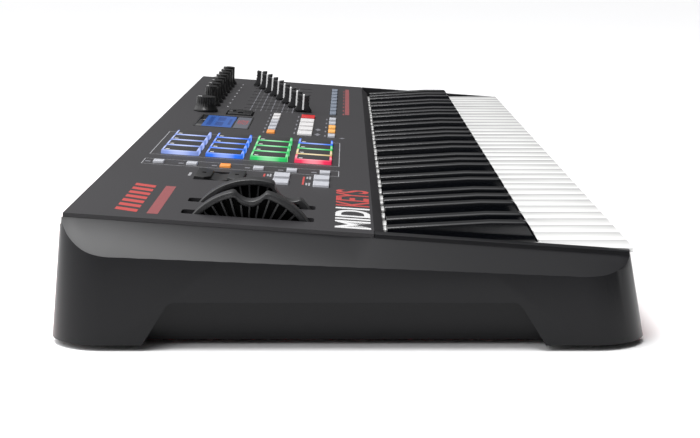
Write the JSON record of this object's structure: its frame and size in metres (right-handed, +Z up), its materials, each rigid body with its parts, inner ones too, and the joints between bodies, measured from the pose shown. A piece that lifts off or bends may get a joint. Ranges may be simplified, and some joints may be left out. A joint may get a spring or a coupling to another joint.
{
  "type": "midi keyboard",
  "caption": "Full-size piano-style controller keyboard with sloping panel, drum pads, knobs, faders, two wheels and a display between moulded end cheeks.",
  "frame": {"origin": "under the middle of the instrument, on the surface its foot strips stand on", "axes": "+X towards the treble end, +Y towards the rear with its sockets, +Z up"},
  "size_m": [0.9026, 0.315, 0.085],
  "materials": {
    "panel": "satin, finely textured",
    "cheek": "satin",
    "red_case": "satin",
    "black_plastic": "satin",
    "rubber": "matte",
    "pad_silicone": "matte, translucent rims lit in blue, green and red",
    "white_key": "gloss",
    "black_key": "gloss",
    "chassis_steel": "plain",
    "board": "solder mask",
    "button_grey": "satin",
    "switch_grey": "satin",
    "window": "clear gloss over the lit display",
    "display": "metal-framed module"
  },
  "bodies": {
    "case": {"bottom_case": "red_case", "rear_panel": "red_case", "top_panel": "panel", "left_end_cheek": "cheek", "right_end_cheek": "cheek", "front_foot_strip": "rubber", "rear_foot_strip": "rubber", "keybed_chassis": "chassis_steel", "key_contact_board": "board", "wheel_bracket": "chassis_steel", "pad_sensor_board": "board", "control_board": "board", "display_window": "window", "display_module": "display", "connector_board": "board"},
    "keys_cegb_1": {"keys_cegb_1": "white_key"},
    "keys_dfa_1": {"keys_dfa_1": "white_key"},
    "keys_sharp_1": {"keys_sharp_1": "black_key"},
    "keys_cegb_2": {"keys_cegb_2": "white_key"},
    "keys_dfa_2": {"keys_dfa_2": "white_key"},
    "keys_sharp_2": {"keys_sharp_2": "black_key"},
    "keys_cegb_3": {"keys_cegb_3": "white_key"},
    "keys_dfa_3": {"keys_dfa_3": "white_key"},
    "keys_sharp_3": {"keys_sharp_3": "black_key"},
    "keys_cegb_4": {"keys_cegb_4": "white_key"},
    "keys_dfa_4": {"keys_dfa_4": "white_key"},
    "keys_sharp_4": {"keys_sharp_4": "black_key"},
    "keys_cegb_5": {"keys_cegb_5": "white_key"},
    "keys_dfa_5": {"keys_dfa_5": "white_key"},
    "keys_sharp_5": {"keys_sharp_5": "black_key"},
    "key_top_c": {"key_top_c": "white_key"},
    "pitch_wheel": {"pitch_wheel": "black_plastic"},
    "modulation_wheel": {"modulation_wheel": "black_plastic"},
    "drum_pad_sheet": {"drum_pad_sheet": "pad_silicone"},
    "pad_bank_buttons": {"pad_bank_buttons": "button_grey"},
    "repeat_buttons": {"repeat_buttons": "button_grey"},
    "cursor_buttons": {"cursor_buttons": "black_plastic"},
    "function_buttons": {"function_buttons": "button_grey"},
    "transport_buttons": {"transport_buttons": "button_grey"},
    "bank_buttons": {"bank_buttons": "button_grey"},
    "fader_switches": {"fader_switches": "switch_grey"},
    "octave_rocker": {"octave_rocker": "black_plastic"},
    "knob_1": {"knob_1": "black_plastic"},
    "knob_2": {"knob_2": "black_plastic"},
    "knob_3": {"knob_3": "black_plastic"},
    "knob_4": {"knob_4": "black_plastic"},
    "knob_5": {"knob_5": "black_plastic"},
    "knob_6": {"knob_6": "black_plastic"},
    "knob_7": {"knob_7": "black_plastic"},
    "knob_8": {"knob_8": "black_plastic"},
    "value_dial": {"value_dial": "black_plastic"},
    "fader_cap_1": {"fader_cap_1": "black_plastic"},
    "fader_cap_2": {"fader_cap_2": "black_plastic"},
    "fader_cap_3": {"fader_cap_3": "black_plastic"},
    "fader_cap_4": {"fader_cap_4": "black_plastic"},
    "fader_cap_5": {"fader_cap_5": "black_plastic"},
    "fader_cap_6": {"fader_cap_6": "black_plastic"},
    "fader_cap_7": {"fader_cap_7": "black_plastic"},
    "fader_cap_8": {"fader_cap_8": "black_plastic"},
    "power_switch": {"power_switch": "black_plastic"}
  },
  "joints": [
    {"name": "keys_cegb_1_press", "type": "hinge", "parent": "case", "child": "keys_cegb_1", "pos_m": [0, -0.002, 0.031], "axis": [1, 0, 0], "range_deg": [0, 3.8], "stiffness_Nm_per_rad": 2, "springref_deg": -8.59},
    {"name": "keys_dfa_1_press", "type": "hinge", "parent": "case", "child": "keys_dfa_1", "pos_m": [0, -0.002, 0.031], "axis": [1, 0, 0], "range_deg": [0, 3.8], "stiffness_Nm_per_rad": 2, "springref_deg": -8.59},
    {"name": "keys_sharp_1_press", "type": "hinge", "parent": "case", "child": "keys_sharp_1", "pos_m": [0, -0.002, 0.031], "axis": [1, 0, 0], "range_deg": [0, 3.8], "stiffness_Nm_per_rad": 2, "springref_deg": -8.59},
    {"name": "keys_cegb_2_press", "type": "hinge", "parent": "case", "child": "keys_cegb_2", "pos_m": [0, -0.002, 0.031], "axis": [1, 0, 0], "range_deg": [0, 3.8], "stiffness_Nm_per_rad": 2, "springref_deg": -8.59},
    {"name": "keys_dfa_2_press", "type": "hinge", "parent": "case", "child": "keys_dfa_2", "pos_m": [0, -0.002, 0.031], "axis": [1, 0, 0], "range_deg": [0, 3.8], "stiffness_Nm_per_rad": 2, "springref_deg": -8.59},
    {"name": "keys_sharp_2_press", "type": "hinge", "parent": "case", "child": "keys_sharp_2", "pos_m": [0, -0.002, 0.031], "axis": [1, 0, 0], "range_deg": [0, 3.8], "stiffness_Nm_per_rad": 2, "springref_deg": -8.59},
    {"name": "keys_cegb_3_press", "type": "hinge", "parent": "case", "child": "keys_cegb_3", "pos_m": [0, -0.002, 0.031], "axis": [1, 0, 0], "range_deg": [0, 3.8], "stiffness_Nm_per_rad": 2, "springref_deg": -8.59},
    {"name": "keys_dfa_3_press", "type": "hinge", "parent": "case", "child": "keys_dfa_3", "pos_m": [0, -0.002, 0.031], "axis": [1, 0, 0], "range_deg": [0, 3.8], "stiffness_Nm_per_rad": 2, "springref_deg": -8.59},
    {"name": "keys_sharp_3_press", "type": "hinge", "parent": "case", "child": "keys_sharp_3", "pos_m": [0, -0.002, 0.031], "axis": [1, 0, 0], "range_deg": [0, 3.8], "stiffness_Nm_per_rad": 2, "springref_deg": -8.59},
    {"name": "keys_cegb_4_press", "type": "hinge", "parent": "case", "child": "keys_cegb_4", "pos_m": [0, -0.002, 0.031], "axis": [1, 0, 0], "range_deg": [0, 3.8], "stiffness_Nm_per_rad": 2, "springref_deg": -8.59},
    {"name": "keys_dfa_4_press", "type": "hinge", "parent": "case", "child": "keys_dfa_4", "pos_m": [0, -0.002, 0.031], "axis": [1, 0, 0], "range_deg": [0, 3.8], "stiffness_Nm_per_rad": 2, "springref_deg": -8.59},
    {"name": "keys_sharp_4_press", "type": "hinge", "parent": "case", "child": "keys_sharp_4", "pos_m": [0, -0.002, 0.031], "axis": [1, 0, 0], "range_deg": [0, 3.8], "stiffness_Nm_per_rad": 2, "springref_deg": -8.59},
    {"name": "keys_cegb_5_press", "type": "hinge", "parent": "case", "child": "keys_cegb_5", "pos_m": [0, -0.002, 0.031], "axis": [1, 0, 0], "range_deg": [0, 3.8], "stiffness_Nm_per_rad": 2, "springref_deg": -8.59},
    {"name": "keys_dfa_5_press", "type": "hinge", "parent": "case", "child": "keys_dfa_5", "pos_m": [0, -0.002, 0.031], "axis": [1, 0, 0], "range_deg": [0, 3.8], "stiffness_Nm_per_rad": 2, "springref_deg": -8.59},
    {"name": "keys_sharp_5_press", "type": "hinge", "parent": "case", "child": "keys_sharp_5", "pos_m": [0, -0.002, 0.031], "axis": [1, 0, 0], "range_deg": [0, 3.8], "stiffness_Nm_per_rad": 2, "springref_deg": -8.59},
    {"name": "key_top_c_press", "type": "hinge", "parent": "case", "child": "key_top_c", "pos_m": [0, -0.002, 0.031], "axis": [1, 0, 0], "range_deg": [0, 3.8], "stiffness_Nm_per_rad": 2, "springref_deg": -8.59},
    {"name": "pitch_bend", "type": "hinge", "parent": "case", "child": "pitch_wheel", "pos_m": [-0.402, 0.0543, 0.0382], "axis": [1, 0, 0], "range_deg": [-37, 37], "stiffness_Nm_per_rad": 0.05},
    {"name": "modulation_turn", "type": "hinge", "parent": "case", "child": "modulation_wheel", "pos_m": [-0.361, 0.0543, 0.0382], "axis": [-1, 0, 0], "range_deg": [0, 74]},
    {"name": "pad_press", "type": "slide", "parent": "case", "child": "drum_pad_sheet", "axis": [0, 0.0703, -0.9975], "range_m": [0, 0.0012], "stiffness_N_per_m": 4000, "springref_m": -0.001},
    {"name": "pad_bank_buttons_press", "type": "slide", "parent": "case", "child": "pad_bank_buttons", "axis": [0, 0.0703, -0.9975], "range_m": [0, 0.001], "stiffness_N_per_m": 600, "springref_m": -0.001},
    {"name": "repeat_buttons_press", "type": "slide", "parent": "case", "child": "repeat_buttons", "axis": [0, 0.0703, -0.9975], "range_m": [0, 0.001], "stiffness_N_per_m": 600, "springref_m": -0.001},
    {"name": "cursor_buttons_press", "type": "slide", "parent": "case", "child": "cursor_buttons", "axis": [0, 0.0703, -0.9975], "range_m": [0, 0.001], "stiffness_N_per_m": 600, "springref_m": -0.001},
    {"name": "function_buttons_press", "type": "slide", "parent": "case", "child": "function_buttons", "axis": [0, 0.0703, -0.9975], "range_m": [0, 0.001], "stiffness_N_per_m": 600, "springref_m": -0.001},
    {"name": "transport_buttons_press", "type": "slide", "parent": "case", "child": "transport_buttons", "axis": [0, 0.0703, -0.9975], "range_m": [0, 0.001], "stiffness_N_per_m": 600, "springref_m": -0.001},
    {"name": "bank_buttons_press", "type": "slide", "parent": "case", "child": "bank_buttons", "axis": [0, 0.0703, -0.9975], "range_m": [0, 0.001], "stiffness_N_per_m": 600, "springref_m": -0.001},
    {"name": "fader_switches_press", "type": "slide", "parent": "case", "child": "fader_switches", "axis": [0, 0.0703, -0.9975], "range_m": [0, 0.001], "stiffness_N_per_m": 600, "springref_m": -0.001},
    {"name": "octave_rock", "type": "hinge", "parent": "case", "child": "octave_rocker", "pos_m": [-0.2635, 0.07944, 0.0629], "axis": [1, 0, 0], "range_deg": [-3, 3], "stiffness_Nm_per_rad": 0.3},
    {"name": "knob_1_turn", "type": "hinge", "parent": "case", "child": "knob_1", "pos_m": [0.152, 0.11871, 0.06767], "axis": [0, -0.0703, 0.9975], "continuous": true},
    {"name": "knob_2_turn", "type": "hinge", "parent": "case", "child": "knob_2", "pos_m": [0.1825, 0.11871, 0.06767], "axis": [0, -0.0703, 0.9975], "continuous": true},
    {"name": "knob_3_turn", "type": "hinge", "parent": "case", "child": "knob_3", "pos_m": [0.213, 0.11871, 0.06767], "axis": [0, -0.0703, 0.9975], "continuous": true},
    {"name": "knob_4_turn", "type": "hinge", "parent": "case", "child": "knob_4", "pos_m": [0.2435, 0.11871, 0.06767], "axis": [0, -0.0703, 0.9975], "continuous": true},
    {"name": "knob_5_turn", "type": "hinge", "parent": "case", "child": "knob_5", "pos_m": [0.274, 0.11871, 0.06767], "axis": [0, -0.0703, 0.9975], "continuous": true},
    {"name": "knob_6_turn", "type": "hinge", "parent": "case", "child": "knob_6", "pos_m": [0.3045, 0.11871, 0.06767], "axis": [0, -0.0703, 0.9975], "continuous": true},
    {"name": "knob_7_turn", "type": "hinge", "parent": "case", "child": "knob_7", "pos_m": [0.335, 0.11871, 0.06767], "axis": [0, -0.0703, 0.9975], "continuous": true},
    {"name": "knob_8_turn", "type": "hinge", "parent": "case", "child": "knob_8", "pos_m": [0.3655, 0.11871, 0.06767], "axis": [0, -0.0703, 0.9975], "continuous": true},
    {"name": "value_dial_turn", "type": "hinge", "parent": "case", "child": "value_dial", "pos_m": [0.104, 0.1192, 0.0677], "axis": [0, -0.0703, 0.9975], "continuous": true},
    {"name": "fader_1_slide", "type": "slide", "parent": "case", "child": "fader_cap_1", "axis": [0, 0.9975, 0.0703], "range_m": [0, 0.0469]},
    {"name": "fader_2_slide", "type": "slide", "parent": "case", "child": "fader_cap_2", "axis": [0, 0.9975, 0.0703], "range_m": [-0.0067, 0.0402]},
    {"name": "fader_3_slide", "type": "slide", "parent": "case", "child": "fader_cap_3", "axis": [0, 0.9975, 0.0703], "range_m": [-0.0134, 0.0335]},
    {"name": "fader_4_slide", "type": "slide", "parent": "case", "child": "fader_cap_4", "axis": [0, 0.9975, 0.0703], "range_m": [-0.0201, 0.0268]},
    {"name": "fader_5_slide", "type": "slide", "parent": "case", "child": "fader_cap_5", "axis": [0, 0.9975, 0.0703], "range_m": [-0.0268, 0.0201]},
    {"name": "fader_6_slide", "type": "slide", "parent": "case", "child": "fader_cap_6", "axis": [0, 0.9975, 0.0703], "range_m": [-0.0335, 0.0134]},
    {"name": "fader_7_slide", "type": "slide", "parent": "case", "child": "fader_cap_7", "axis": [0, 0.9975, 0.0703], "range_m": [-0.0402, 0.0067]},
    {"name": "fader_8_slide", "type": "slide", "parent": "case", "child": "fader_cap_8", "axis": [0, 0.9975, 0.0703], "range_m": [-0.0469, 0]},
    {"name": "power_switch_rock", "type": "hinge", "parent": "case", "child": "power_switch", "pos_m": [0.37, 0.153, 0.03], "axis": [1, 0, 0], "range_deg": [-12, 0]}
  ]
}
